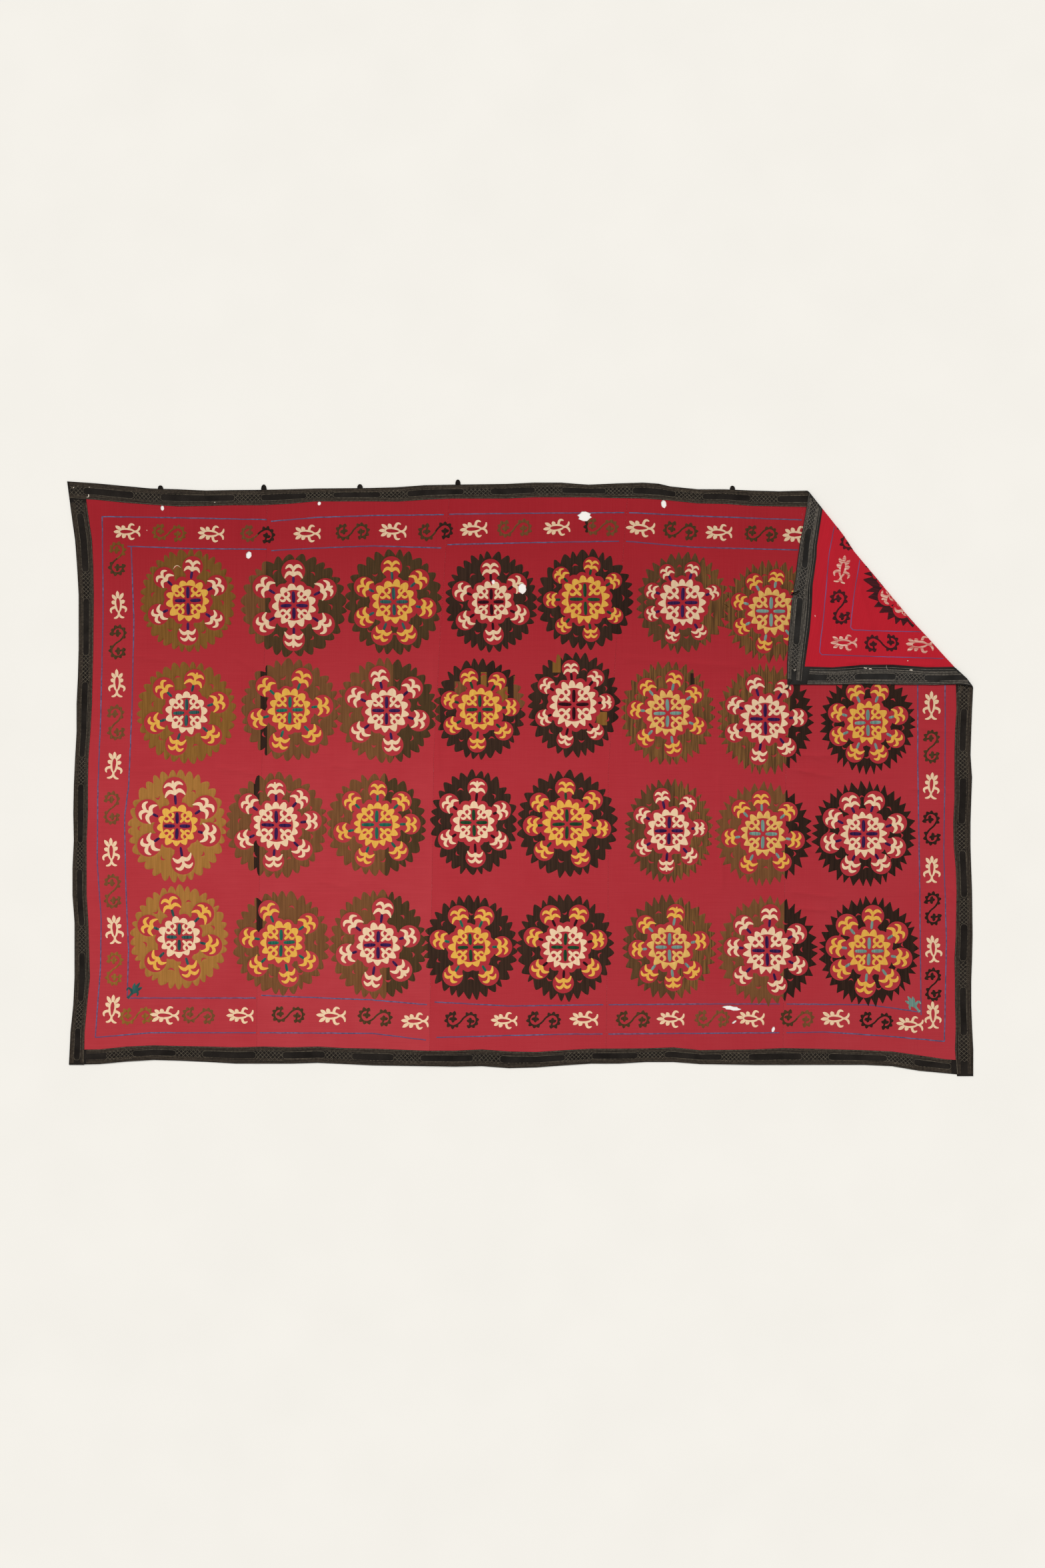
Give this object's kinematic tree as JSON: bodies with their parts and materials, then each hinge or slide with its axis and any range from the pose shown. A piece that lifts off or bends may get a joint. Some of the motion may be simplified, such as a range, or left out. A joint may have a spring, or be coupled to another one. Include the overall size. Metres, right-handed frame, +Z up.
{
  "type": "suzani embroidered textile",
  "caption": "Large red cotton embroidered hanging of joined loom widths in a black stitched band, lying face up with one corner folded over.",
  "frame": {"origin": "middle of the laid cloth's outline, on the surface that it lies on", "axes": "+X along the long side, to the right seen from above; +Y across it towards the edge with the hanging loops; +Z up, out of the embroidered face"},
  "size_m": [3.534, 2.3261, 0.01],
  "materials": {
    "red_cotton": "matt plain-woven dyed cotton, embroidered all over",
    "black_band": "matt black cotton velvet, machine stitched in grey thread",
    "loop_tape": "matt black tape"
  },
  "bodies": {
    "root": {"panel_1": "red_cotton", "panel_2": "red_cotton", "panel_3": "red_cotton", "panel_4": "red_cotton", "panel_5": "red_cotton", "band_top": "black_band", "band_right": "black_band", "band_bottom": "black_band", "band_left": "black_band", "loop_1": "loop_tape", "loop_2": "loop_tape", "loop_3": "loop_tape", "loop_4": "loop_tape", "loop_5": "loop_tape"}
  },
  "joints": []
}
